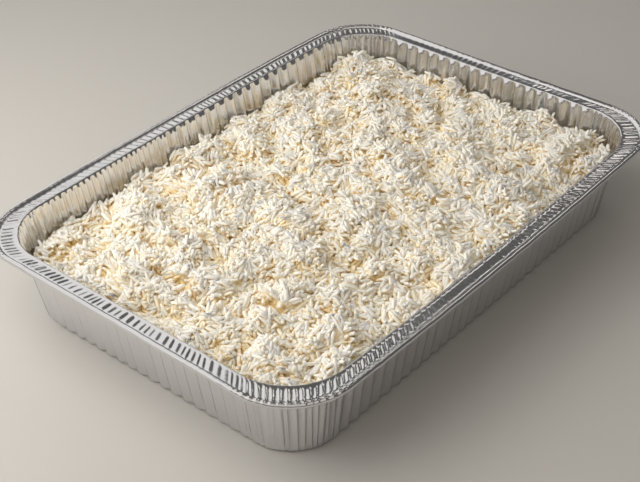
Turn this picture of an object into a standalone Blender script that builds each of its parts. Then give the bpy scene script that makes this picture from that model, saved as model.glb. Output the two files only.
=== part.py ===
"""Foil tray meal: a fluted aluminium foil catering tray filled with steamed long grain rice.

Two closed solids, the tray and the rice heaped in it. Units are metres and +Z is up.
The origin is at the middle of the tray's underside. X runs along the tray's long sides
and Y along its short sides.
"""

import math

import bmesh
import bpy
from mathutils import Vector, noise

# Tray, overall
LENGTH = 0.448               # outside the rolled rim, along X
WIDTH = 0.325                # outside the rolled rim, along Y
HEIGHT = 0.071               # underside to the top of the rolled rim
SHEET = 0.0006               # wall thickness of the solid

# Tray, rim
RIM_WIDTH = 0.0155           # rolled edge and flange together
RIM_OUTER_RADIUS = 0.050     # plan radius of the rim's outer corners
RIM_INNER_RADIUS = 0.045     # plan radius of the mouth's corners
BEAD = 0.0046                # diameter of the rolled edge
BEAD_FACETS = 6              # edges round the exposed part of the rolled edge
FLANGE_DROP = 0.0010         # the flange lies this much below the top of the rolled edge

# Tray, walls and floor
WALL_INSET = 0.0095          # how far the walls lean in from the mouth to the floor
BASE_RADIUS = 0.038          # plan radius of the floor's corners
FOOT_ROUND = 0.004           # size of the bend between wall and floor
FLUTE_FADE = 0.005           # height over which the flutes die out below the flange
FLUTE_DEPTH = 0.0018         # crest to hollow
FLUTES_LONG = 29             # along one long side, between the corners
FLUTES_SHORT = 18            # along one short side, between the corners
FLUTES_CORNER = 6            # round one corner
LONG_SIDE_BOW = 0.004        # the full tray's long sides belly out this much at the rim

# Rice
CLEARANCE = 0.0003           # gap kept to the tray's floor
WALL_CLEARANCE = 0.0006      # gap kept to the crests of the flutes
RICE_CELLS_LONG = 36         # facets of the rice's top along X
RICE_CELLS_SHORT = 26        # facets of the rice's top along Y
RICE_EDGE_LEVEL = 0.0470     # height of the rice along the walls
RICE_CROWN = 0.0105          # how much higher the middle is than the edges
RICE_CROWN_RUN = 0.055       # distance from the wall over which the crown rises
RICE_CORNER_DIPS = {         # how much lower each corner is than the edges, by its signs
    (1, 1): 0.0, (-1, 1): 0.006, (-1, -1): 0.004, (1, -1): 0.010,
}
RICE_CORNER_REACH = 0.045    # how far a corner's dip spreads
RICE_LUMPS = ((0.034, 0.0022), (0.015, 0.0010))     # spacing and height of the lumps
RICE_HIGHEST = 0.0590        # no lump rises above this


def clear_objects():
    for thing in list(bpy.data.objects):
        bpy.data.objects.remove(thing, do_unlink=True)


def make_material(name, color, roughness, metallic):
    material = bpy.data.materials.new(name)
    material.use_nodes = True
    shader = material.node_tree.nodes["Principled BSDF"]
    shader.inputs["Base Color"].default_value = (*color, 1.0)
    shader.inputs["Roughness"].default_value = roughness
    shader.inputs["Metallic"].default_value = metallic
    return material


def make_object(name, bm, material):
    bmesh.ops.recalc_face_normals(bm, faces=bm.faces[:])
    mesh = bpy.data.meshes.new(name)
    bm.to_mesh(mesh)
    bm.free()
    mesh.materials.append(material)
    thing = bpy.data.objects.new(name, mesh)
    bpy.context.scene.collection.objects.link(thing)
    return thing


def outline(half_x, half_y, radius):
    """Walk round a rounded rectangle and give each point with its outward direction.

    Every walk has two points to a flute, and a given flute always has the same places
    in it, so walks of different sizes join up along the flutes.
    """
    sides = (
        (Vector((half_x, 0.0)), Vector((0.0, 1.0)), half_y - radius, FLUTES_SHORT),
        (Vector((0.0, half_y)), Vector((-1.0, 0.0)), half_x - radius, FLUTES_LONG),
        (Vector((-half_x, 0.0)), Vector((0.0, -1.0)), half_y - radius, FLUTES_SHORT),
        (Vector((0.0, -half_y)), Vector((1.0, 0.0)), half_x - radius, FLUTES_LONG),
    )
    walk = []
    for middle, along, reach, flutes in sides:
        outward = Vector((along.y, -along.x))
        steps = 2 * flutes
        for step in range(steps):
            share = (step + 0.5) / steps
            walk.append((middle + along * reach * (2.0 * share - 1.0), outward))
        centre = middle - outward * radius + along * reach
        steps = 2 * FLUTES_CORNER
        for step in range(steps):
            turn = math.pi / 2 * (step + 0.5) / steps
            direction = outward * math.cos(turn) + along * math.sin(turn)
            walk.append((centre + direction * radius, direction))
    return walk


def bowed(place, height):
    """Push a point outwards with the belly of the long sides, which grows with height."""
    across = max(-1.0, min(1.0, place.y / (WIDTH / 2)))
    along = place.x / (LENGTH / 2)
    push = LONG_SIDE_BOW * (height / HEIGHT) * across * (1.0 - along * along)
    return Vector((place.x, place.y + push, height))


def ring_places(inset, radius, height, flute_depth=0.0):
    """One level of the tray: the outline, inset from the rim's edge, with its flutes."""
    walk = outline(LENGTH / 2 - inset, WIDTH / 2 - inset, radius)
    places = []
    for number, (place, outward) in enumerate(walk):
        side = 1.0 if number % 2 else -1.0
        places.append(bowed(place + outward * side * flute_depth / 2, height))
    return places


def start_ring(bm, places):
    ring = [bm.verts.new(place) for place in places]
    for number, vert in enumerate(ring):
        bm.edges.new((ring[number - 1], vert))
    return ring


def extrude_ring(bm, ring, places):
    """Extrude a closed ring of edges and put the new ring's points at the given places."""
    edges = [bm.edges.get((ring[number - 1], vert)) for number, vert in enumerate(ring)]
    made = bmesh.ops.extrude_edge_only(bm, edges=edges)["geom"]
    fresh = {item for item in made if isinstance(item, bmesh.types.BMVert)}
    following = []
    for vert, place in zip(ring, places):
        twin = next(e.other_vert(vert) for e in vert.link_edges if e.other_vert(vert) in fresh)
        twin.co = place
        following.append(twin)
    return following


def bead_rings():
    """The rolled edge, from under the flange round the outside to the flange's top."""
    radius = BEAD / 2
    first = math.radians(-130)
    last = math.radians(130)
    rings = []
    for step in range(BEAD_FACETS + 1):
        turn = first + (last - first) * step / BEAD_FACETS
        inset = radius - radius * math.cos(turn)
        height = HEIGHT - radius + radius * math.sin(turn)
        corner = RIM_OUTER_RADIUS - inset
        rings.append(ring_places(inset, corner, height))
    return rings


def wall_inset(height):
    """Inset of the wall's middle surface from the rim's edge at a height."""
    head = HEIGHT - FLANGE_DROP
    return RIM_WIDTH + WALL_INSET * (head - height) / (head - FOOT_ROUND)


def wall_radius(height):
    head = HEIGHT - FLANGE_DROP
    share = (head - height) / (head - FOOT_ROUND)
    return RIM_INNER_RADIUS + (BASE_RADIUS - RIM_INNER_RADIUS) * share


def wall_ring(height, skin, flute_depth):
    """A level of the wall. skin is the distance outwards from the wall's middle surface."""
    return ring_places(wall_inset(height) - skin, wall_radius(height) + skin, height, flute_depth)


def build_tray():
    flange = HEIGHT - FLANGE_DROP
    bead_inner = BEAD + SHEET
    floor_inset = wall_inset(FOOT_ROUND) + FOOT_ROUND
    floor_radius = BASE_RADIUS - FOOT_ROUND
    skin = SHEET / 2
    bead_radius = RIM_OUTER_RADIUS - bead_inner

    levels = [
        wall_ring(FOOT_ROUND, skin, FLUTE_DEPTH),
        wall_ring(flange - FLUTE_FADE, skin, FLUTE_DEPTH),
        wall_ring(flange - SHEET, skin, 0.0),
        ring_places(bead_inner, bead_radius, flange - SHEET),
        *bead_rings(),
        ring_places(bead_inner, bead_radius, flange),
        wall_ring(flange, -skin, 0.0),
        wall_ring(flange - FLUTE_FADE, -skin, FLUTE_DEPTH),
        wall_ring(FOOT_ROUND, -skin, FLUTE_DEPTH),
        ring_places(floor_inset, floor_radius, SHEET),
    ]
    bm = bmesh.new()
    ring = start_ring(bm, ring_places(floor_inset, floor_radius, 0.0))
    bmesh.ops.contextual_create(bm, geom=ring)
    for places in levels:
        ring = extrude_ring(bm, ring, places)
    bmesh.ops.contextual_create(bm, geom=ring)
    # The shorter diagonal is the same one on both skins, which keeps them parallel.
    bmesh.ops.triangulate(bm, faces=bm.faces[:], quad_method="SHORT_EDGE")
    foil = make_material("aluminium_foil", (0.80, 0.80, 0.82), 0.22, 1.0)
    return make_object("tray", bm, foil)


def rice_level(place):
    """Height of the heap at a point: crowned in the middle, low in the corners, lumpy."""
    half_x = LENGTH / 2 - RIM_WIDTH
    half_y = WIDTH / 2 - RIM_WIDTH
    to_wall = max(0.0, min(half_x - abs(place.x), half_y - abs(place.y)))
    crown = RICE_CROWN * (1.0 - math.exp(-to_wall / RICE_CROWN_RUN))
    level = RICE_EDGE_LEVEL + crown
    for (side_x, side_y), dip in RICE_CORNER_DIPS.items():
        to_corner = math.hypot(side_x * half_x - place.x, side_y * half_y - place.y)
        level -= dip * math.exp(-(to_corner / RICE_CORNER_REACH) ** 2)
    for layer, (spacing, height) in enumerate(RICE_LUMPS):
        level += height * noise.noise(Vector((place.x, place.y, 0.1 * layer)) / spacing)
    return min(level, RICE_HIGHEST)


def rounded_place(across, half_x, half_y, radius):
    """Carry a point of the square from -1 to 1 into a rounded rectangle."""
    place = Vector((across.x * half_x, across.y * half_y))
    past = Vector((abs(place.x) - (half_x - radius), abs(place.y) - (half_y - radius)))
    if min(past) <= 0.0:
        return place
    shrink = max(past) / past.length
    corner = Vector((half_x - radius, half_y - radius)) + past * shrink
    return Vector((math.copysign(corner.x, place.x), math.copysign(corner.y, place.y)))


def rice_place(across, height, extra=0.0):
    """A point of the rice at a height: across gives its share of the way to the walls."""
    gap = SHEET / 2 + FLUTE_DEPTH / 2 + WALL_CLEARANCE + extra
    inset = wall_inset(height) + gap
    radius = wall_radius(height) - gap
    place = rounded_place(across, LENGTH / 2 - inset, WIDTH / 2 - inset, radius)
    return bowed(place, height)


def build_rice():
    bm = bmesh.new()
    bmesh.ops.create_grid(bm, x_segments=RICE_CELLS_LONG, y_segments=RICE_CELLS_SHORT, size=1.0)
    rim = [edge for edge in bm.edges if edge.is_boundary]
    shares = {vert: vert.co.xy for vert in bm.verts}

    sides = bmesh.ops.extrude_edge_only(bm, edges=rim)["geom"]
    foot = [item for item in sides if isinstance(item, bmesh.types.BMVert)]
    lowest = [item for item in sides if isinstance(item, bmesh.types.BMEdge) and item.is_boundary]
    foot_shares = {vert: vert.co.xy for vert in foot}
    heel = bmesh.ops.extrude_edge_only(bm, edges=lowest)["geom"]
    sole = [item for item in heel if isinstance(item, bmesh.types.BMVert)]
    sole_shares = {vert: vert.co.xy for vert in sole}
    sole_edges = [item for item in heel if isinstance(item, bmesh.types.BMEdge) and item.is_boundary]

    for vert, share in shares.items():
        near = rice_place(share, RICE_EDGE_LEVEL)
        vert.co = rice_place(share, rice_level(near))
    for vert, share in foot_shares.items():
        vert.co = rice_place(share, FOOT_ROUND + SHEET)
    for vert, share in sole_shares.items():
        vert.co = rice_place(share, SHEET + CLEARANCE, FOOT_ROUND)
    bmesh.ops.contextual_create(bm, geom=sole_edges)
    rice = make_material("steamed_rice", (0.83, 0.77, 0.63), 0.55, 0.0)
    return make_object("rice", bm, rice)


def main():
    clear_objects()
    build_tray()
    build_rice()


main()
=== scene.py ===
"""Looks of a foil tray meal: a fluted aluminium foil tray heaped with steamed long grain rice.

The tray is one sheet of foil, wrapped round its outline and given its flutes, ribs and
rolled edge. The rice is a core in the tray with loose grains laid on it one by one.
Units are metres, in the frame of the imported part.
"""

import math

import bmesh
import bpy
import numpy as np
from mathutils import Matrix, Vector
from mathutils.bvhtree import BVHTree


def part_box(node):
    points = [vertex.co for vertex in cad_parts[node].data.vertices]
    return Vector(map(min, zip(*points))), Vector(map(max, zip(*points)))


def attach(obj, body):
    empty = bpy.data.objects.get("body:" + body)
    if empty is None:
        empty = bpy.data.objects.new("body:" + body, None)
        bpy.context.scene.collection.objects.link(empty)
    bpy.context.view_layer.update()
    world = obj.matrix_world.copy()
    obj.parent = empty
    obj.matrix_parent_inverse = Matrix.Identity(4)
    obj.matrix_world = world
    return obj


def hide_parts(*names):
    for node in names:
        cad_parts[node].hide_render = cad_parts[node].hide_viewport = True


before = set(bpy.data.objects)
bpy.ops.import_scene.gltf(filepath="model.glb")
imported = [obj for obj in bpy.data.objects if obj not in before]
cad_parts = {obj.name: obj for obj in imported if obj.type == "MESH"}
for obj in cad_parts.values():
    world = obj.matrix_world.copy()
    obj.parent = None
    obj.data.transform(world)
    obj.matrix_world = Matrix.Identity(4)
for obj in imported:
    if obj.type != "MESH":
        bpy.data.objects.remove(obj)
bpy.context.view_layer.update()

SEED = 20260

# ------------------------------------------------------------------ sizes of the tray

TRAY_LOW, TRAY_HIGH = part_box("tray")
RIM_WIDTH = 0.0155           # rolled edge and flange together
RIM_OUTER_RADIUS = 0.050     # plan radius of the rim's outer corners
RIM_INNER_RADIUS = 0.045     # plan radius of the mouth's corners
BEAD = 0.0046                # diameter of the rolled edge
FLANGE_DROP = 0.0010         # the flange lies this much below the top of the rolled edge
WALL_INSET = 0.0095          # how far the walls lean in from the mouth to the floor
BASE_RADIUS = 0.038          # plan radius of the floor's corners
FOOT_ROUND = 0.004           # size of the bend between wall and floor
LONG_SIDE_BOW = 0.004        # the full tray's long sides belly out this much at the rim
HEIGHT = TRAY_HIGH.z
LENGTH = TRAY_HIGH.x - TRAY_LOW.x
WIDTH = TRAY_HIGH.y - TRAY_LOW.y - 2 * LONG_SIDE_BOW * (1 - BEAD / 2 / HEIGHT)
FLANGE = HEIGHT - FLANGE_DROP

FOIL = 0.0002                # foil, drawn twice as thick as the real sheet
FLUTE_DEPTH = 0.0034         # crest to hollow
FLUTES_LONG = 29             # along one long side, between the corners
FLUTES_SHORT = 18            # along one short side, between the corners
FLUTES_CORNER = 14           # round one corner, where they are pressed closer together
FLUTE_CREST = 1.25           # power of the flutes' wave: the lower, the narrower the crests
HALVED_DEPTH = 0.55          # depth of the narrow flutes that a wide one is pressed into
STEPS_PER_FLUTE = 12         # stations round the outline, the columns of the sheet's mesh
STEPS_PER_CORNER_FLUTE = 9
SEAM_FADE = 20               # stations each side of the sheet's seam over which dents die out
NECK_DROP = 0.0042           # below the flange by this much, the flutes start to die out
LIP = 0.0009                 # radius of the bend from wall to flange
RIB_PITCH = 0.0054           # spacing of the ribs across the flange
CORNER_RIB_PITCH = 0.0048
RIB_PITCH_RANGE = (0.70, 1.35)    # one rib's share of that spacing, and of the full height
RIB_HEIGHT_RANGE = (0.35, 1.0)
RIB_HEIGHT = 0.0011
RIB_SHARES = (0.0, 0.55, 0.75, 0.94, 1.0)    # along the near short side, where the ribs
RIB_STRENGTHS = (1.1, 1.0, 0.7, 0.4, 1.0)    # fade before the corner
SWAY = 0.00030               # slow rise and fall of the rim
ROLL = 0.0004                # how far the flange tips in and out along its run
DENT = 0.00025               # uneven hand-pressed places in the sheet
CORNER_DENT = 0.00035        # added to them in the corners' flutes
BEAD_PLEAT = 0.0004          # how far the ribs carry on into the rolled edge at the corners
BEAD_RIPPLE = 0.0001
CORNER_BEAD_RIPPLE = 0.0006

# ------------------------------------------------------------------ sizes of the rice

RICE_CELL = 0.0020           # spacing of the core's points
HEAP_CELL = 0.0008           # spacing of the height map that the grains are laid on
HEAP_MARGIN = 12             # cells of that map beyond the rice on every side
READ_EVERY = 5               # the solid's top is read at every fifth cell
MISSED_DROP = 0.008          # where a ray misses the solid: this far under its usual top
LAYER = 0.0030               # depth of the loose grains under the heap's top
CLUMPS = (                   # (spacing, height, whether the lumps meet in creases)
    (0.040, 0.0054, False),
    (0.023, 0.0064, True),
    (0.011, 0.0025, True),
)
CORE_BELOW = 0.0009          # the core lies this far under the tops of the grains
CORE_GRIT = 0.0006           # height of the lumps on the core, a grain's width apart
CORE_GRIT_SPACING = 0.0032
CORE_GAP = 0.0004            # between the core and the deepest part of the flutes
CORE_FOOT_GAP = 0.0010       # more of it at the foot
CORE_READ_DROP = 0.012       # the core's points are looked up as if this far under the top
GRAIN_LENGTH = 0.0125
GRAIN_WIDTH = 0.0032
GRAIN_SIDES = 6
GRAIN_RINGS = 5
GRAIN_FULLNESS = 0.56        # power that blunts the ends: 1 leaves an ellipsoid, 0 makes a rod
GRAIN_HALF_THICKNESS = 0.43  # as a share of its width
GRAIN_ROLL = 0.9             # turn of a grain about its own axis, either way, in radians
GIRTH_SPREAD = 0.07          # of the grains' widths, as a share
GRAIN_TONE_SPREAD = 0.10     # a whole grain is lighter or darker by up to this
LENGTH_SPREAD = 0.11         # of the grains' lengths, as a share, held to the range below
LENGTH_RANGE = (0.68, 1.22)
WALL_CLEARANCE = 0.0006
BED_GRAINS = 23000           # no more than this many in the bed
BATCH = 400                  # grains laid between two looks at where the heap is still low
LOW_ENOUGH = GRAIN_WIDTH * 0.3    # a place this far below the heap's top takes a grain
YAW_SCATTER = 0.5            # of the bed's grains about their neighbours' way, in radians
WALL_YAW_SCATTER = 0.3       # of those that had to be turned along the wall
LYING_PITCH_SCATTER = 0.20
STEEPEST_REST = 0.6          # a lying grain leans no more than this, rise over run
LYING_TOP = 0.0006           # and rests no higher than this over the heap's top
LYING_RISE = 0.34            # of its width: its middle's height over what it rests on
STEEP_SHARE = 0.42           # of the bed's grains stick up or down, and the rest lie
STEEP_PITCH = (0.35, 1.1)
STEEP_TIP = (0.0008, 0.0042)      # their upper ends' height over the heap's top
TUFTS = 900
TUFT_GRAINS = (3, 8)         # from three to seven grains in a tuft
TUFT_TRIES = 4               # places looked at for each tuft, until one lies on a clump
TUFT_CLUMP = (-0.004, 0.003)      # a place over the broad top by a draw from this is on one
TUFT_MARGIN = 0.016          # from the height map's edge
TUFT_PITCH = (0.60, 1.30)
TUFT_TIP = (0.0014, 0.0052)  # the tips' height over the bed
TUFT_SPREAD = 0.0022         # between the feet of one tuft's grains
TUFT_LEAN_SCATTER = 0.8      # of a tuft's way about that of the bed
TUFT_YAW_SCATTER = 0.28      # of its grains about its own way
TUFT_PITCH_SCATTER = 0.18
DRIFT_SPACING = 0.014        # neighbours this near lie much the same way
DRIFT_TURN = math.pi * 1.3   # how far that way swings over the tray
BED_OVER = 0.0012            # the bed that the tufts stand in, at most this over the heap's top
SKY_REACHES = (0.0016, 0.0034, 0.0070)    # where the heap can hide the sky from a point
SKY_WAYS = 8
PAINTED_SHADE_IN_THE_GAPS = 0.14      # painted shade: tone of a point that sees no sky
PAINTED_SKY_LIGHT = 1.10       # painted light: added where it sees all of it
PAINTED_LIGHT_LIFT = 0.050            # painted light: a point this far over the broad top is whiter by 1


# ------------------------------------------------------------------ small helpers

def linear(code):
    """A colour written as sRGB hex, in linear light."""
    values = [int(code[place:place + 2], 16) / 255 for place in (1, 3, 5)]
    return [v / 12.92 if v <= 0.04045 else ((v + 0.055) / 1.055) ** 2.4 for v in values] + [1.0]


def add_node(tree, kind, inputs=None, **settings):
    """Add a shader node with its settings. Inputs are numbers, or outputs to link."""
    node = tree.nodes.new(kind)
    for name, value in settings.items():
        setattr(node, name, value)
    for name, value in (inputs or {}).items():
        if isinstance(value, bpy.types.NodeSocket):
            tree.links.new(value, node.inputs[name])
        else:
            node.inputs[name].default_value = value
    return node


def new_material(name):
    material = bpy.data.materials.new(name)
    material.use_nodes = True
    tree = material.node_tree
    return material, tree, tree.nodes["Principled BSDF"]


def set_ramp(node, stops):
    ramp = node.color_ramp
    while len(ramp.elements) < len(stops):
        ramp.elements.new(0.5)
    for element, (position, color) in zip(ramp.elements, stops):
        element.position = position
        element.color = color


def new_object(name, mesh, material):
    mesh.materials.append(material)
    mesh.shade_smooth()
    thing = bpy.data.objects.new(name, mesh)
    bpy.context.scene.collection.objects.link(thing)
    return thing


def mesh_of(name, bm):
    mesh = bpy.data.meshes.new(name)
    bm.to_mesh(mesh)
    bm.free()
    return mesh


def blend_grid(values, rows, columns, ease):
    """Values of a coarse grid read at fractional rows and columns."""
    iy, ix = rows.astype(int), columns.astype(int)
    fy, fx = (rows - iy)[:, None], (columns - ix)[None, :]
    if ease:
        fy, fx = fy * fy * (3 - 2 * fy), fx * fx * (3 - 2 * fx)
    near = values[np.ix_(iy, ix)] * (1 - fx) + values[np.ix_(iy, ix + 1)] * fx
    far = values[np.ix_(iy + 1, ix)] * (1 - fx) + values[np.ix_(iy + 1, ix + 1)] * fx
    return near * (1 - fy) + far * fy


def smooth_noise(rng, rows, columns, spacing):
    """Even noise from -1 to 1 on a grid, with lumps of the given spacing in cells."""
    coarse = rng.uniform(-1.0, 1.0, (int(rows / spacing) + 3, int(columns / spacing) + 3))
    return blend_grid(coarse, np.arange(rows) / spacing, np.arange(columns) / spacing, ease=True)


def ring_noise(rng, count, spacing):
    """Noise from -1 to 1 round a closed ring of points, with lumps of that many points."""
    knots = max(4, round(count / spacing))
    values = rng.uniform(-1.0, 1.0, knots)
    place = np.arange(count) * knots / count
    index = place.astype(int)
    share = place - index
    share = share * share * (3 - 2 * share)
    return values[index % knots] * (1 - share) + values[(index + 1) % knots] * share


# ------------------------------------------------------------------ the tray's outline

def walk_the_outline():
    """One row for each step round the tray: side, share of the side, and flute phase."""
    rows = []
    flutes = 0.0
    for side in range(4):
        straight = FLUTES_LONG if side % 2 else FLUTES_SHORT
        for corner, count, steps in ((0, straight, STEPS_PER_FLUTE),
                                     (1, FLUTES_CORNER, STEPS_PER_CORNER_FLUTE)):
            for step in range(count * steps):
                share = step / (count * steps)
                rows.append((side, corner, share, flutes + share * count))
            flutes += count
    return np.array(rows)


WALK = walk_the_outline()
STATIONS = len(WALK)


def outline(half_x, half_y, radius):
    """Points round a rounded rectangle and their outward directions, a row to a station."""
    side, corner, share = WALK[:, 0], WALK[:, 1], WALK[:, 2]
    facing = side * math.pi / 2
    along_x = side % 2 == 1
    reach = np.where(along_x, half_x, half_y) - radius
    apart = np.where(along_x, half_y, half_x)
    turn = facing + np.where(corner > 0, share * math.pi / 2, 0.0)
    out = np.stack([np.cos(turn), np.sin(turn)], 1)
    face = np.stack([np.cos(facing), np.sin(facing)], 1)
    along = np.stack([-np.sin(facing), np.cos(facing)], 1)
    slide = np.where(corner > 0, reach, reach * (2 * share - 1))
    base = face * (apart - radius)[:, None] + along * slide[:, None]
    return base + out * radius, out


def bow(x, height):
    """How many times wider the full tray is than its plain outline."""
    along = x / (LENGTH / 2)
    return 1.0 + LONG_SIDE_BOW / (WIDTH / 2) * (height / HEIGHT) * (1.0 - along * along)


def wall_share(height):
    """0 where the wall meets the flange, 1 where it meets the foot."""
    return (FLANGE - height) / (FLANGE - FOOT_ROUND)


def wall_inset(height):
    return RIM_WIDTH + WALL_INSET * wall_share(height)


def wall_radius(height):
    return RIM_INNER_RADIUS + (BASE_RADIUS - RIM_INNER_RADIUS) * wall_share(height)


def inside_wall(x, y, height):
    """Distance to the middle of the wall at a height, negative inside the tray."""
    y = y / bow(x, height)
    radius = wall_radius(height)
    past_x = np.abs(x) - (LENGTH / 2 - wall_inset(height) - radius)
    past_y = np.abs(y) - (WIDTH / 2 - wall_inset(height) - radius)
    outer = np.hypot(np.maximum(past_x, 0), np.maximum(past_y, 0))
    return outer + np.minimum(np.maximum(past_x, past_y), 0) - radius


# ------------------------------------------------------------------ the foil tray

def corner_weight():
    """1 round the corners, easing to 0 along the sides."""
    blur = 36
    kernel = np.hanning(blur + 2)[1:-1]
    padded = np.concatenate([WALK[-blur:, 1], WALK[:, 1], WALK[:blur, 1]])
    return np.convolve(padded, kernel / kernel.sum(), "same")[blur:-blur]


def flute_phase(rng, corners):
    """Which flute each station is in, with the flutes of uneven width."""
    uneven = 0.18 * ring_noise(rng, STATIONS, 40) + 0.30 * corners * ring_noise(rng, STATIONS, 14)
    return WALK[:, 3] + uneven


def halved_flutes(rng):
    """1 where each flute is pressed as two: at the back's far end, and less in patches."""
    back = (WALK[:, 0] == 1) & (WALK[:, 1] == 0)
    halved = np.where(back, np.clip(2.4 * WALK[:, 2] - 0.7, 0.0, 1.0), 0.0)
    return np.maximum(halved, 0.6 * np.clip(ring_noise(rng, STATIONS, 120) - 0.1, 0.0, 1.0))


def flute_wave(phase, halved):
    """Height of the flutes: rather narrow ridges outwards, broad bulges inwards."""
    broad = 1.0 - 2.0 * np.abs(np.sin(math.pi * phase)) ** FLUTE_CREST
    narrow = 1.0 - 2.0 * np.abs(np.sin(2 * math.pi * phase)) ** FLUTE_CREST
    return broad * (1 - halved) + HALVED_DEPTH * narrow * halved


def rib_wave(rng, corners):
    """Ribs pressed across the flange, each with its own width, height and sharpness."""
    rim, _ = outline(LENGTH / 2, WIDTH / 2, RIM_OUTER_RADIUS)
    steps = np.linalg.norm(np.roll(rim, -1, 0) - rim, axis=1)
    place = np.concatenate([[0.0], np.cumsum(steps)])[:-1]
    total = steps.sum()
    ribs = np.zeros(STATIONS)
    start = 0.0
    while start < total - RIB_PITCH / 2:
        weight = corners[int(np.searchsorted(place, start)) % STATIONS]
        pitch = RIB_PITCH + (CORNER_RIB_PITCH - RIB_PITCH) * weight
        pitch = pitch * rng.uniform(*RIB_PITCH_RANGE)
        within = (place >= start) & (place < start + pitch)
        share = (place[within] - start) / pitch
        sharpness = rng.uniform(1.4, 3.2) + rng.uniform(1.0, 5.0) * weight
        ribs[within] = rng.uniform(*RIB_HEIGHT_RANGE) * np.sin(math.pi * share) ** sharpness
        start += pitch
    return ribs


def arc(first, last, steps):
    return [math.radians(first + (last - first) * step / steps) for step in range(steps + 1)]


def tray_profile():
    """Levels from the floor's edge up the wall, over the flange and round the rolled edge.

    Each is (inset from the rim's edge, plan radius, height, flutes, ribs, bead).
    """
    foot_inset = wall_inset(FOOT_ROUND)
    flat = 1.6 * FOOT_ROUND
    levels = [(foot_inset + flat, BASE_RADIUS - flat, 0.0, 0.0, 0, 0)]
    for turn in arc(-90, 0, 3):
        away = FOOT_ROUND * (1 - math.cos(turn))
        height = FOOT_ROUND * (1 + math.sin(turn))
        grown = 0.25 + 0.75 * height / FOOT_ROUND
        levels.append((foot_inset + away, BASE_RADIUS - away, height, grown, 0, 0))
    neck = FLANGE - NECK_DROP
    for step in range(1, 5):
        height = FOOT_ROUND + (neck - FOOT_ROUND) * step / 4
        levels.append((wall_inset(height), wall_radius(height), height, 1.0, 0, 0))
    for drop, grown in ((0.0030, 0.85), (0.0020, 0.45), (0.0011, 0.12)):
        height = FLANGE - drop
        levels.append((wall_inset(height), wall_radius(height), height, grown, 0, 0))
    for turn in arc(150, 60, 3):
        away = RIM_WIDTH - LIP - LIP * math.cos(turn)
        height = FLANGE - LIP * 0.7 + LIP * math.sin(turn)
        levels.append((away, RIM_INNER_RADIUS + RIM_WIDTH - away, height, 0.0, 0, 0))
    inner = RIM_WIDTH - 2.2 * LIP
    outer = BEAD + 0.0012
    for share, rib in ((0.0, 0.4), (0.2, 0.9), (0.6, 1.0), (0.92, 0.9), (1.0, 0.4)):
        away = inner + (outer - inner) * share
        radius = RIM_INNER_RADIUS + (RIM_OUTER_RADIUS - BEAD - RIM_INNER_RADIUS) * share
        levels.append((away, radius, FLANGE - 0.0004 - 0.0005 * share, 0.0, rib, 0))
    levels.append((BEAD + 0.0003, RIM_OUTER_RADIUS - BEAD, FLANGE - 0.0016, 0.0, 0.1, 0))
    for turn in arc(160, -150, 7):
        away = BEAD / 2 * (1 - math.cos(turn))
        height = HEIGHT - BEAD / 2 * (1 - math.sin(turn))
        levels.append((away, RIM_OUTER_RADIUS - away, height, 0.0, 0, 1.0))
    return levels


def rib_strength(rng, corners):
    """How strongly the ribs are pressed: full round the corners, and fading near one."""
    strength = np.clip(0.90 + 0.45 * ring_noise(rng, STATIONS, 90), 0.5, 1.2)
    fading = np.interp(WALK[:, 2], RIB_SHARES, RIB_STRENGTHS)
    strength = np.where((WALK[:, 0] == 2) & (WALK[:, 1] == 0), fading, strength)
    return np.maximum(strength, corners)


def pressed_sheet():
    """Where every point of the foil lies: a row for each level, a column for each station."""
    rng = np.random.default_rng(SEED)
    corners = corner_weight()
    phase = flute_phase(rng, corners)
    halved = halved_flutes(rng)
    uneven = (1.0 - 0.5 * corners) * (1.0 + (0.15 + 0.35 * corners) * ring_noise(rng, STATIONS, 11))
    ribs = rib_wave(rng, corners)
    strength = rib_strength(rng, corners)
    slant = 2.2 * ring_noise(rng, STATIONS, 9)
    sway = ring_noise(rng, STATIONS, 110)
    roll = ring_noise(rng, STATIONS, 45)
    levels = tray_profile()
    dents = smooth_noise(rng, len(levels), STATIONS, 6.0)
    wander = smooth_noise(rng, len(levels), STATIONS, 9.0)
    fade = np.minimum(1.0, np.minimum(np.arange(STATIONS), STATIONS - np.arange(STATIONS)) / SEAM_FADE)
    station = np.arange(STATIONS)

    places = np.zeros((len(levels), STATIONS, 3))
    for number, (inset, radius, height, flute, rib, bead) in enumerate(levels):
        plan, out = outline(LENGTH / 2 - inset, WIDTH / 2 - inset, radius)
        loose = fade * min(1.0, height / FOOT_ROUND)
        turned = phase + (0.05 + 0.30 * corners) * wander[number] * loose
        pressed = np.interp(station + slant * (inset / RIM_WIDTH - 0.5), station, ribs, period=STATIONS)
        push = flute * FLUTE_DEPTH / 2 * flute_wave(turned, halved) * uneven
        push += (DENT + CORNER_DENT * flute * corners) * dents[number] * loose
        push += bead * BEAD_PLEAT * corners * (pressed - 0.4)
        plan = plan + out * push[:, None]
        places[number, :, 0] = plan[:, 0]
        places[number, :, 1] = plan[:, 1] * bow(plan[:, 0], height)
        rise = rib * RIB_HEIGHT * strength * (pressed - 0.35)
        rise += rib * ROLL * roll * (inset / RIM_WIDTH - 0.6)
        rise += SWAY * sway * max(0.0, height / HEIGHT - 0.9) * 10
        rise += bead * (BEAD_RIPPLE + CORNER_BEAD_RIPPLE * corners) * (pressed - 0.4)
        places[number, :, 2] = height + rise
    return places


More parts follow.
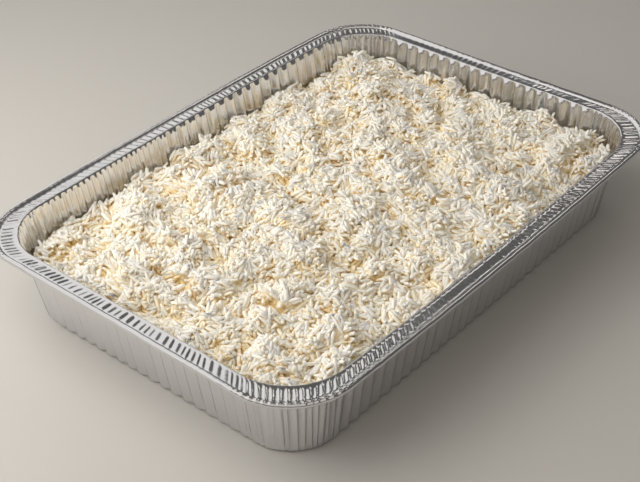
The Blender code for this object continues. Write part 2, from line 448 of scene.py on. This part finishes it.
def build_tray():
    places = pressed_sheet()
    top_level = len(places) - 1
    bm = bmesh.new()
    bmesh.ops.create_grid(bm, x_segments=STATIONS, y_segments=top_level, size=1.0)
    for vert in bm.verts:
        station = round((vert.co.x + 1) / 2 * STATIONS) % STATIONS
        level = round((vert.co.y + 1) / 2 * top_level)
        vert.co = places[level, station]
    seam = [v for v in bm.verts if v.is_boundary]
    bmesh.ops.remove_doubles(bm, verts=seam, dist=1e-6)
    floor_edge = [e for e in bm.edges if e.is_boundary and e.verts[0].co.z < FOOT_ROUND / 2]
    bmesh.ops.contextual_create(bm, geom=floor_edge)
    bmesh.ops.recalc_face_normals(bm, faces=bm.faces[:])
    tray = new_object("foil_tray", mesh_of("foil_tray", bm), rolled_foil())
    sheet = tray.modifiers.new("foil thickness", "SOLIDIFY")
    sheet.thickness = FOIL
    sheet.offset = 0.0
    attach(tray, "root")
    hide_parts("tray")


# ------------------------------------------------------------------ the rice

class Heap:
    """Height maps of the rice: its broad top, that top with its clumps, and what is laid so far."""

    def __init__(self, rng):
        low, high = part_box("rice")
        self.x0 = low.x - HEAP_MARGIN * HEAP_CELL
        self.y0 = low.y - HEAP_MARGIN * HEAP_CELL
        self.columns = int((high.x - self.x0) / HEAP_CELL) + HEAP_MARGIN + 2
        self.rows = int((high.y - self.y0) / HEAP_CELL) + HEAP_MARGIN + 2
        self.broad = self.read_level(low, high)
        self.level = self.broad.copy()
        for spacing, height, creased in CLUMPS:
            lumps = smooth_noise(rng, self.rows, self.columns, spacing / HEAP_CELL)
            self.level += height * (2.0 * np.abs(lumps) - 0.7 if creased else lumps)
        self.top = self.level - LAYER
        self.bed = self.top

    def read_level(self, low, high):
        """The solid's top, read from above on a coarse grid and smoothed onto the map."""
        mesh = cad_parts["rice"].data
        solid = BVHTree.FromPolygons([v.co for v in mesh.vertices],
                                     [face.vertices for face in mesh.polygons])
        heights = np.zeros((self.rows // READ_EVERY + 2, self.columns // READ_EVERY + 2))
        for row, column in np.ndindex(heights.shape):
            x = self.x0 + column * READ_EVERY * HEAP_CELL
            y = self.y0 + row * READ_EVERY * HEAP_CELL
            x = min(max(x, low.x * 0.99), high.x * 0.99)
            y = min(max(y, low.y * 0.99), high.y * 0.99)
            hit = solid.ray_cast(Vector((x, y, 1.0)), Vector((0, 0, -1)))[0]
            heights[row, column] = hit.z if hit else np.nan
        heights = np.where(np.isnan(heights), np.nanmedian(heights) - MISSED_DROP, heights)
        y, x = np.arange(self.rows) / READ_EVERY, np.arange(self.columns) / READ_EVERY
        return blend_grid(heights, y, x, ease=False)

    def cell(self, x, y):
        return (int((y - self.y0) / HEAP_CELL + 0.5), int((x - self.x0) / HEAP_CELL + 0.5))

    def cells(self, x, y):
        return (((y - self.y0) / HEAP_CELL + 0.5).astype(int),
                ((x - self.x0) / HEAP_CELL + 0.5).astype(int))


KINDS = {
    # name: (share of the grains, length, width, bend as a share of the length)
    "straight": (0.19, 1.00, 1.00, 0.015),
    "plump": (0.18, 0.96, 1.08, 0.03),
    "bowed": (0.19, 1.02, 1.00, 0.07),
    "curved": (0.15, 1.04, 0.97, 0.11),
    "slim": (0.16, 1.10, 0.90, 0.04),
    "broken": (0.13, 0.68, 1.04, 0.02),
}


def from_lowest(numbers):
    """A face's points from the lowest on, so that every run writes the same mesh."""
    start = numbers.index(min(numbers))
    return numbers[start:] + numbers[:start]


def grain_shape(length, width, bend):
    """One grain: a blunt spindle along X, flattened a little and bent upwards."""
    bm = bmesh.new()
    bmesh.ops.create_uvsphere(bm, u_segments=GRAIN_SIDES, v_segments=GRAIN_RINGS, radius=1.0)
    bmesh.ops.rotate(bm, verts=bm.verts, matrix=Matrix.Rotation(math.pi / 2, 3, "Y"))
    for vert in bm.verts:
        across = math.hypot(vert.co.y, vert.co.z)
        if across > 1e-6:
            fuller = across ** GRAIN_FULLNESS / across
            vert.co.y *= fuller
            vert.co.z *= fuller
    bmesh.ops.scale(bm, verts=bm.verts, vec=(length / 2, width / 2, width * GRAIN_HALF_THICKNESS))
    for vert in bm.verts:
        share = vert.co.x / (length / 2)
        vert.co.z += bend * length * (0.4 - share * share)
    points = np.array([v.co for v in bm.verts])
    faces = sorted(from_lowest([v.index for v in face.verts]) for face in bm.faces)
    bm.free()
    return points, faces


def rest_on(heap, x, y, yaw, length):
    """Height and slope at which a straight grain comes to rest on what lies below it."""
    steps = 7
    reach = np.linspace(-0.46, 0.46, steps) * length
    below = heap.top[heap.cells(x + reach * math.cos(yaw), y + reach * math.sin(yaw))].tolist()
    best = below[steps // 2]
    slope = 0.0
    for left in range(steps // 2):
        for right in range(steps // 2 + 1, steps):
            rise = (below[right] - below[left]) / (reach[right] - reach[left])
            middle = below[left] - rise * reach[left]
            if middle > best:
                best = middle
                slope = rise
    return best, slope


def in_the_tray(x, y, yaw, run, height):
    """Whether both ends of a grain are clear of the walls."""
    gap = FLUTE_DEPTH / 2 + WALL_CLEARANCE
    ends = [(x + way * run * math.cos(yaw), y + way * run * math.sin(yaw)) for way in (-0.5, 0.5)]
    return all(inside_wall(*end, height) < -gap for end in ends)


def stamp(heap, x, y, z, yaw, pitch, length):
    """Raise the height map where a grain now lies."""
    share = np.linspace(-0.48, 0.48, 15) * length
    run = share * math.cos(pitch)
    rows, columns = heap.cells(x + run * math.cos(yaw), y + run * math.sin(yaw))
    tall = z + GRAIN_WIDTH * 0.40 + share * math.sin(pitch)
    for up, right in ((0, 0), (1, 0), (-1, 0), (0, 1), (0, -1)):
        cells = (rows + up, columns + right)
        heap.top[cells] = np.maximum(heap.top[cells], tall - 0.0003 * (up != 0 or right != 0))


def random_length(rng):
    return GRAIN_LENGTH * float(np.clip(rng.normal(1.0, LENGTH_SPREAD), *LENGTH_RANGE))


def grain_row(heap, rng, x, y, z, yaw, pitch, length):
    """What is kept of one laid grain: place, turn, size, tone."""
    stamp(heap, x, y, z, yaw, pitch, length)
    return (x, y, z, yaw, pitch, rng.uniform(-GRAIN_ROLL, GRAIN_ROLL), length / GRAIN_LENGTH,
            rng.normal(1.0, GIRTH_SPREAD), rng.uniform(-GRAIN_TONE_SPREAD, GRAIN_TONE_SPREAD))


def lay_bed(heap, rng, drift):
    """Lay grains one by one where the heap is still low, each at rest on those below."""
    rows = []
    y = heap.y0 + np.arange(heap.rows)[:, None] * HEAP_CELL
    x = heap.x0 + np.arange(heap.columns)[None, :] * HEAP_CELL
    inside = inside_wall(x, y, heap.broad) < -FLUTE_DEPTH / 2 - GRAIN_LENGTH * 0.2
    laid = BATCH
    while laid > BATCH / 10 and len(rows) < BED_GRAINS:
        low = np.argwhere(inside & (heap.level - heap.top > LOW_ENOUGH))
        laid = -len(rows)
        for cell in map(tuple, rng.permutation(low)[:BATCH]):
            if heap.level[cell] - heap.top[cell] < LOW_ENOUGH:
                continue
            grain = bed_grain(heap, rng, cell, drift[cell] + rng.normal(0.0, YAW_SCATTER))
            if grain:
                rows.append(grain)
        laid += len(rows)
    return rows


def bed_grain(heap, rng, cell, yaw):
    """One grain of the bed, lying or steep, or nothing where the wall is in its way."""
    x = heap.x0 + (cell[1] + rng.uniform(-0.5, 0.5)) * HEAP_CELL
    y = heap.y0 + (cell[0] + rng.uniform(-0.5, 0.5)) * HEAP_CELL
    length = random_length(rng)
    if not in_the_tray(x, y, yaw, length, heap.top[cell]):
        yaw = math.atan2(y, x) + math.pi / 2 + rng.normal(0.0, WALL_YAW_SCATTER)
        if not in_the_tray(x, y, yaw, length, heap.top[cell]):
            return None
    if rng.random() < STEEP_SHARE:
        pitch = rng.uniform(*STEEP_PITCH) * (1 if rng.random() < 0.5 else -1)
        z = heap.level[cell] + rng.uniform(*STEEP_TIP) - length / 2 * abs(math.sin(pitch))
    else:
        rest, slope = rest_on(heap, x, y, yaw, length)
        slope = max(-STEEPEST_REST, min(STEEPEST_REST, slope))
        pitch = math.atan(slope) + rng.normal(0.0, LYING_PITCH_SCATTER)
        z = min(rest, heap.level[cell] + LYING_TOP) + GRAIN_WIDTH * LYING_RISE
    return grain_row(heap, rng, x, y, z, yaw, pitch, length)


def lay_tufts(heap, rng, drift):
    """Lay small tufts of grains that lean one way with their tips up, most on the clumps."""
    rows = []
    for _ in range(TUFTS):
        for _ in range(TUFT_TRIES):
            x = rng.uniform(heap.x0 + TUFT_MARGIN, -heap.x0 - TUFT_MARGIN)
            y = rng.uniform(heap.y0 + TUFT_MARGIN, -heap.y0 - TUFT_MARGIN)
            cell = heap.cell(x, y)
            if heap.level[cell] - heap.broad[cell] > rng.uniform(*TUFT_CLUMP):
                break
        lean = drift[cell] + rng.uniform(-TUFT_LEAN_SCATTER, TUFT_LEAN_SCATTER)
        lean += math.pi * (rng.random() < 0.5)
        steep = rng.uniform(*TUFT_PITCH)
        for _ in range(rng.integers(*TUFT_GRAINS)):
            length = random_length(rng)
            yaw = lean + rng.normal(0.0, TUFT_YAW_SCATTER)
            pitch = min(1.4, max(0.25, steep + rng.normal(0.0, TUFT_PITCH_SCATTER)))
            foot_x, foot_y = x + rng.normal(0.0, TUFT_SPREAD), y + rng.normal(0.0, TUFT_SPREAD)
            run = length * math.cos(pitch) / 2
            mid_x, mid_y = foot_x + run * math.cos(yaw), foot_y + run * math.sin(yaw)
            tip = heap.bed[heap.cell(foot_x, foot_y)] + rng.uniform(*TUFT_TIP)
            z = tip - length / 2 * math.sin(pitch)
            if in_the_tray(mid_x, mid_y, yaw, 2 * run, z):
                rows.append(grain_row(heap, rng, mid_x, mid_y, z, yaw, pitch, length))
    return rows


def grain_turns(rows):
    """A rotation matrix for each grain: rolled on its axis, pitched, then turned."""
    yaw, pitch, roll = rows[:, 3], rows[:, 4], rows[:, 5]
    cy, sy, cp, sp = np.cos(yaw), np.sin(yaw), np.cos(pitch), np.sin(pitch)
    cr, sr = np.cos(roll), np.sin(roll)
    along = np.stack([cy * cp, sy * cp, sp], 1)
    side = np.stack([-sy, cy, np.zeros_like(yaw)], 1)
    up = np.cross(along, side)
    across = side * cr[:, None] + up * sr[:, None]
    over = up * cr[:, None] - side * sr[:, None]
    return np.stack([along, across, over], 2)


def soften(values, reach):
    """A height map averaged over a square of that many cells each way."""
    for axis in (0, 1):
        total = sum(np.roll(values, step, axis) for step in range(-reach, reach + 1))
        values = total / (2 * reach + 1)
    return values


def painted_shade_of(heap, points):
    """Painted light and shade: 1 where rice lies open to the sky and is white, towards 0 down in the
    gaps, where shade is painted; rice higher over the broad top is painted lighter.
    """
    x, y, z = points[..., 0], points[..., 1], points[..., 2]
    open_sky = np.zeros_like(z)
    for turn in np.arange(SKY_WAYS) * math.tau / SKY_WAYS:
        rise = np.zeros_like(z)
        for reach in SKY_REACHES:
            ahead = heap.top[heap.cells(x + reach * math.cos(turn), y + reach * math.sin(turn))]
            rise = np.maximum(rise, (ahead - z) / reach)
        open_sky += (1.0 - rise / np.hypot(rise, 1.0)) / SKY_WAYS
    # painted light: the higher a point stands over the broad top, the whiter it is painted
    lift = z - heap.broad[heap.cells(x, y)]
    return PAINTED_SHADE_IN_THE_GAPS + PAINTED_SKY_LIGHT * open_sky + lift / PAINTED_LIGHT_LIFT


# each point's colour: a grain's random tone together with painted light and shade
def mark_tone_and_shade(mesh, tone_and_shade):
    attribute = mesh.attributes.new("tone_and_shade", "FLOAT", "POINT")
    attribute.data.foreach_set("value", tone_and_shade.reshape(-1).astype(np.float32))


def join_grains(name, rows, shape, material, heap):
    """One mesh of many grains, with the rice's random tone and painted light and shade on its points.
    """
    points, faces = shape
    turns = grain_turns(rows)
    scale = np.stack([rows[:, 6], rows[:, 7], rows[:, 7]], 1)
    local = points[None, :, :] * scale[:, None, :]
    placed = np.einsum("nij,npj->npi", turns, local) + rows[:, None, :3]
    count, size = len(rows), len(points)
    corners = np.concatenate([np.array(face) for face in faces])
    sizes = np.array([len(face) for face in faces])
    starts = np.concatenate([[0], np.cumsum(sizes)[:-1]])
    mesh = bpy.data.meshes.new(name)
    mesh.vertices.add(count * size)
    mesh.loops.add(count * len(corners))
    mesh.polygons.add(count * len(faces))
    mesh.vertices.foreach_set("co", placed.reshape(-1).astype(np.float32))
    index = (np.arange(count)[:, None] * size + corners[None, :]).reshape(-1)
    mesh.loops.foreach_set("vertex_index", index.astype(np.int32))
    first = (np.arange(count)[:, None] * len(corners) + starts[None, :]).reshape(-1)
    mesh.polygons.foreach_set("loop_start", first.astype(np.int32))
    mesh.update(calc_edges=True)
    # painted shade down in the gaps and painted light on open, raised rice, plus each grain's random
    # tone
    mark_tone_and_shade(mesh, np.clip(painted_shade_of(heap, placed) + rows[:, 8, None], 0.0, 1.0))
    grains = new_object(name, mesh, material)
    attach(grains, "root")


def lay_grains(heap):
    """Place, turn, size and tone of every loose grain, a row to a grain."""
    rng = np.random.default_rng(SEED + 2)
    drift = DRIFT_TURN * smooth_noise(rng, heap.rows, heap.columns, DRIFT_SPACING / HEAP_CELL)
    rows = lay_bed(heap, rng, drift)
    heap.bed = soften(np.minimum(heap.top, heap.level + BED_OVER), 2)
    rows += lay_tufts(heap, rng, drift)
    return np.array(rows)


def build_grains(heap, rows):
    rng = np.random.default_rng(SEED + 4)
    names = list(KINDS)
    kind = rng.choice(len(names), len(rows), p=[KINDS[name][0] for name in names])
    material = steamed_rice()
    for number, name in enumerate(names):
        _, length, width, bend = KINDS[name]
        shape = grain_shape(GRAIN_LENGTH * length, GRAIN_WIDTH * width, bend)
        join_grains("rice_" + name, rows[kind == number], shape, material, heap)


def rounded_place(u, v, half_x, half_y, radius):
    """Carry a point of the square from -1 to 1 into a rounded rectangle."""
    x, y = u * half_x, v * half_y
    past_x, past_y = abs(x) - (half_x - radius), abs(y) - (half_y - radius)
    if min(past_x, past_y) > 0:
        shrink = max(past_x, past_y) / math.hypot(past_x, past_y)
        x = math.copysign(half_x - radius + past_x * shrink, x)
        y = math.copysign(half_y - radius + past_y * shrink, y)
    return x, y


def core_point(u, v, height, gap):
    inset = wall_inset(height) + gap
    x, y = rounded_place(u, v, LENGTH / 2 - inset, WIDTH / 2 - inset, wall_radius(height) - gap)
    return Vector((x, y * bow(x, height), height))


def extrude_rim(bm, edges):
    """A new ring of faces along an open rim: its new points and its new open edges."""
    made = bmesh.ops.extrude_edge_only(bm, edges=edges)["geom"]
    points = [item for item in made if isinstance(item, bmesh.types.BMVert)]
    return points, [item for item in made if isinstance(item, bmesh.types.BMEdge) and item.is_boundary]


def build_core(heap):
    """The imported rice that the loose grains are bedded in, lumpy with grains on its top."""
    rng = np.random.default_rng(SEED + 3)
    grit = smooth_noise(rng, heap.rows, heap.columns, CORE_GRIT_SPACING / HEAP_CELL)
    bed = heap.bed - CORE_BELOW + CORE_GRIT * grit
    low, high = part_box("rice")
    gap = FLUTE_DEPTH / 2 + CORE_GAP
    bm = bmesh.new()
    bmesh.ops.create_grid(bm, x_segments=int((high.x - low.x) / RICE_CELL),
                          y_segments=int((high.y - low.y) / RICE_CELL), size=1.0)
    top = {vert: vert.co.copy() for vert in bm.verts}
    foot, foot_edges = extrude_rim(bm, [edge for edge in bm.edges if edge.is_boundary])
    for vert in foot:
        vert.co = core_point(vert.co.x, vert.co.y, low.z + FOOT_ROUND, gap + CORE_FOOT_GAP)
    for vert, share in top.items():
        place = core_point(share.x, share.y, high.z - CORE_READ_DROP, gap)
        cell = heap.cell(place.x, place.y)
        vert.co = core_point(share.x, share.y, bed[cell], gap)
    sole, sole_edges = extrude_rim(bm, foot_edges)
    for vert in sole:
        inward = Vector((vert.co.x, vert.co.y)).normalized() * FOOT_ROUND
        vert.co = Vector((vert.co.x - inward.x, vert.co.y - inward.y, low.z))
    bmesh.ops.contextual_create(bm, geom=sole_edges)
    bmesh.ops.triangulate(bm, faces=bm.faces[:])
    bmesh.ops.recalc_face_normals(bm, faces=bm.faces[:])
    mesh = mesh_of("rice_core", bm)
    points = np.array([vert.co for vert in mesh.vertices])
    # painted light and shade on the core's points, from how much of the sky the heap hides
    mark_tone_and_shade(mesh, np.clip(painted_shade_of(heap, points), 0.0, 1.0))
    core = new_object("rice_core", mesh, packed_rice())
    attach(core, "root")
    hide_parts("rice")


# ------------------------------------------------------------------ materials

CREASE_SPACING = 0.006       # fine handling creases in the foil
HAZE_SPACING = 0.030         # cloudy patches where the foil shines less
KERNEL_SPACING = 0.0026      # grains packed side by side in the core, about their real width
GAP_SHADE = 0.35             # painted shade: how much deeper the tone is between them


def rolled_foil():
    """Rolled aluminium foil, pressed: a bright mirror, broken up by fine creases.

    The rolling marks are about 0.02 mm apart, too fine to draw, and show only as the
    roughness that spreads the reflections.
    """
    material, tree, shader = new_material("rolled_aluminium_foil_pressed")
    place = add_node(tree, "ShaderNodeTexCoord").outputs["Object"]
    creases = add_node(tree, "ShaderNodeTexNoise", {
        "Vector": place, "Scale": 1 / CREASE_SPACING, "Detail": 4.0, "Roughness": 0.6})
    haze = add_node(tree, "ShaderNodeTexNoise", {
        "Vector": place, "Scale": 1 / HAZE_SPACING, "Detail": 3.0})
    rough = add_node(tree, "ShaderNodeMapRange", {
        "Value": haze.outputs["Fac"], "From Min": 0.3, "From Max": 0.7,
        "To Min": 0.13, "To Max": 0.24})
    bump = add_node(tree, "ShaderNodeBump", {
        "Height": creases.outputs["Fac"], "Distance": 0.0004, "Strength": 0.5})
    shader.inputs["Base Color"].default_value = linear("#E6E6E8")
    shader.inputs["Metallic"].default_value = 1.0
    tree.links.new(rough.outputs["Result"], shader.inputs["Roughness"])
    tree.links.new(bump.outputs["Normal"], shader.inputs["Normal"])
    return material


# painted shade in golden tones down in the gaps, painted light in white where rice is open to the sky;
# each grain's random tone moves along the ramp too
RICE_TONES_AND_SHADE = [(0.0, linear("#E9D197")), (0.35, linear("#F4E3BE")),
              (0.7, linear("#FAEFDB")), (1.0, linear("#FEF7EE"))]


def rice_material(name, roughness, depth):
    """A rice shader whose light spreads to a depth, coloured by the random tone and the painted light
    and shade that each point carries.
    """
    material, tree, shader = new_material(name)
    tone_and_shade = add_node(tree, "ShaderNodeAttribute", attribute_name="tone_and_shade").outputs["Fac"]
    color = add_node(tree, "ShaderNodeValToRGB", {"Fac": tone_and_shade})
    set_ramp(color, RICE_TONES_AND_SHADE)
    tree.links.new(color.outputs["Color"], shader.inputs["Base Color"])
    shader.inputs["Roughness"].default_value = roughness
    shader.inputs["Subsurface Weight"].default_value = 1.0
    shader.inputs["Subsurface Radius"].default_value = (1.0, 0.97, 0.92)
    shader.inputs["Subsurface Scale"].default_value = depth
    return material, tree, shader, tone_and_shade, color


def steamed_rice():
    """Steamed long grain rice: moist and softly translucent; its shadows stay warm because the shade in
    the gaps is painted golden.
    """
    material, _, shader, _, _ = rice_material("steamed_long_grain_rice", 0.48, 0.0015)
    shader.inputs["IOR"].default_value = 1.35
    return material


def packed_rice():
    """The same rice deeper in the tray, painted golden in shade as light that gets in there would turn,
    with painted shade between its kernels.
    """
    material, tree, shader, tone_and_shade, color = rice_material("packed_long_grain_rice", 0.5, 0.003)
    place = add_node(tree, "ShaderNodeTexCoord").outputs["Object"]
    kernels = add_node(tree, "ShaderNodeTexVoronoi", {
        "Vector": place, "Scale": 1 / KERNEL_SPACING}).outputs["Distance"]
    # painted shade in the gaps between the kernels, deepening the tone towards their edges
    gaps = add_node(tree, "ShaderNodeMath", {0: kernels, 1: GAP_SHADE}, operation="MULTIPLY")
    shade = add_node(tree, "ShaderNodeMath", {0: tone_and_shade, 1: gaps.outputs["Value"]},
                     operation="SUBTRACT")
    tree.links.new(shade.outputs["Value"], color.inputs["Fac"])
    bump = add_node(tree, "ShaderNodeBump", {"Height": kernels, "Distance": 0.001, "Strength": 0.6})
    tree.links.new(bump.outputs["Normal"], shader.inputs["Normal"])
    return material


# ------------------------------------------------------------------ camera and light

FLOOR_REACH = 3.0            # from the tray to the floor's edges
LIGHTS = (
    # name, azimuth, elevation, distance, size, watts, colour, seen in the foil
    ("key", 138, 42, 0.60, (0.8, 0.8), 3.0, "#FFFAF3", False),
    ("side", 168, 54, 0.80, (1.0, 1.0), 1.3, "#FFFAF3", False),
    ("window", 105, 34, 1.9, (4.4, 2.1), 22.5, "#FFFCF8", True),
    ("fill", 215, 50, 1.8, (3.2, 2.4), 11.5, "#FFF6EA", True),
    ("strip", 0, 48, 1.8, (0.5, 0.9), 1.4, "#FFF8F0", True),
)
LIGHT_TARGET = Vector((0.0, 0.0, 0.05))

CAMERA_AZIMUTH = -48.0
CAMERA_ELEVATION = 35.7
CAMERA_ROLL = -2.25
CAMERA_TARGET = Vector((0.0041, 0.0182, 0.0))
CAMERA_DISTANCE = 1.0935
CAMERA_LENS = 76.6           # on a 36 mm wide sensor


def build_stage():
    """A plain pale floor, dull enough that only its brightness shows in the foil."""
    bm = bmesh.new()
    bmesh.ops.create_grid(bm, x_segments=1, y_segments=1, size=FLOOR_REACH)
    material, _, shader = new_material("pale_painted_board")
    shader.inputs["Base Color"].default_value = linear("#C6C4C0")
    shader.inputs["Roughness"].default_value = 0.7
    floor = new_object("floor", mesh_of("floor", bm), material)


def add_light(name, azimuth, elevation, distance, size, power, color, in_the_foil):
    """A soft box that faces the tray. Azimuth is counted from +X towards +Y."""
    turn, rise = math.radians(azimuth), math.radians(elevation)
    way = Vector((math.cos(turn) * math.cos(rise), math.sin(turn) * math.cos(rise), math.sin(rise)))
    data = bpy.data.lights.new(name, "AREA")
    data.shape = "RECTANGLE"
    data.size, data.size_y = size
    data.energy = power
    data.color = linear(color)[:3]
    light = bpy.data.objects.new(name, data)
    bpy.context.scene.collection.objects.link(light)
    light.location = LIGHT_TARGET + way * distance
    light.rotation_euler = (-way).to_track_quat("-Z", "Y").to_euler()
    light.visible_glossy = in_the_foil


def build_light():
    bpy.context.scene.view_settings.view_transform = "Standard"
    bpy.context.scene.cycles.diffuse_bounces = 8
    world = bpy.data.worlds.new("studio")
    bpy.context.scene.world = world
    world.use_nodes = True
    background = world.node_tree.nodes["Background"]
    background.inputs["Color"].default_value = linear("#CBC8C4")
    background.inputs["Strength"].default_value = 0.18
    for light in LIGHTS:
        add_light(*light)


def build_camera():
    azimuth = math.radians(CAMERA_AZIMUTH)
    elevation = math.radians(CAMERA_ELEVATION)
    back = Vector((math.sin(azimuth) * math.cos(elevation),
                   -math.cos(azimuth) * math.cos(elevation), math.sin(elevation)))
    right = Vector((math.cos(azimuth), math.sin(azimuth), 0.0))
    turned = Matrix((right, back.cross(right), back)).transposed()
    turned = turned @ Matrix.Rotation(math.radians(-CAMERA_ROLL), 3, "Z").inverted()
    data = bpy.data.cameras.new("camera")
    data.sensor_width = 36.0
    data.lens = CAMERA_LENS
    camera = bpy.data.objects.new("camera", data)
    camera.matrix_world = Matrix.Translation(CAMERA_TARGET + back * CAMERA_DISTANCE) @ turned.to_4x4()
    bpy.context.scene.collection.objects.link(camera)
    bpy.context.scene.camera = camera


build_camera()
build_light()
build_stage()
build_tray()
rice = Heap(np.random.default_rng(SEED + 1))
grains = lay_grains(rice)
build_core(rice)
build_grains(rice, grains)
